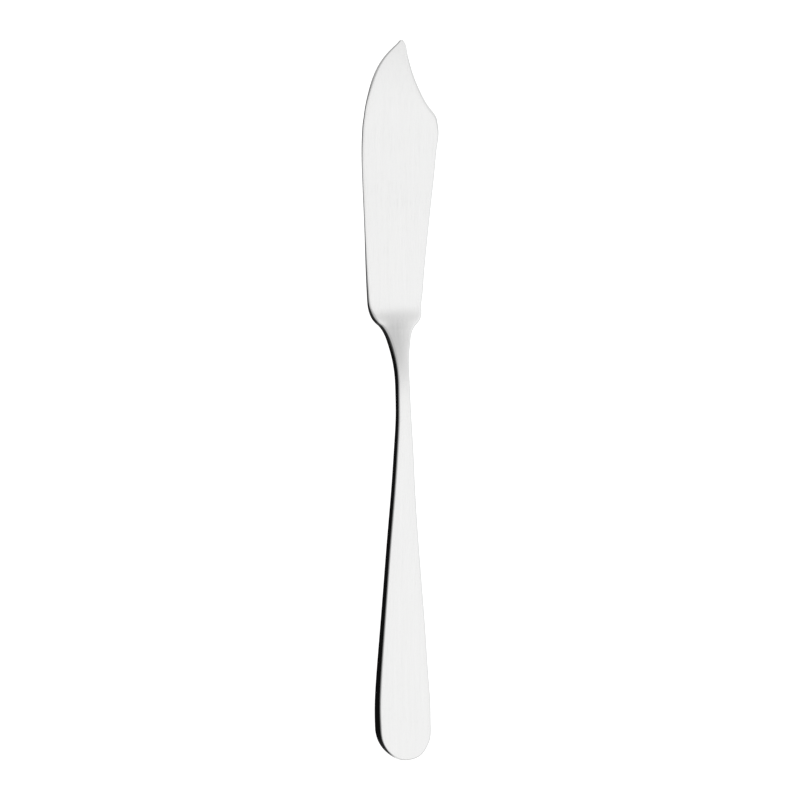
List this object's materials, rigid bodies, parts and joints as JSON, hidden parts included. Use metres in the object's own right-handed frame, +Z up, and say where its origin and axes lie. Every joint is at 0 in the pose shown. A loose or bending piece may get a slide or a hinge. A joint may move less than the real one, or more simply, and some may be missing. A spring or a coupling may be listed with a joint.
{
  "type": "fish knife",
  "caption": "Table fish knife in one piece of polished steel: broad blunt blade with a notched back, slim neck and flat teardrop handle.",
  "frame": {"origin": "middle of the knife's box, on the plane that it rests on", "axes": "+Y along the knife towards the blade's tip, +X towards the blade's back, +Z up from the table through the knife's thickness"},
  "size_m": [0.0248, 0.205, 0.0045],
  "materials": {
    "stainless_steel": "mirror polished"
  },
  "bodies": {
    "root": {"knife_body": "stainless_steel"}
  },
  "joints": []
}
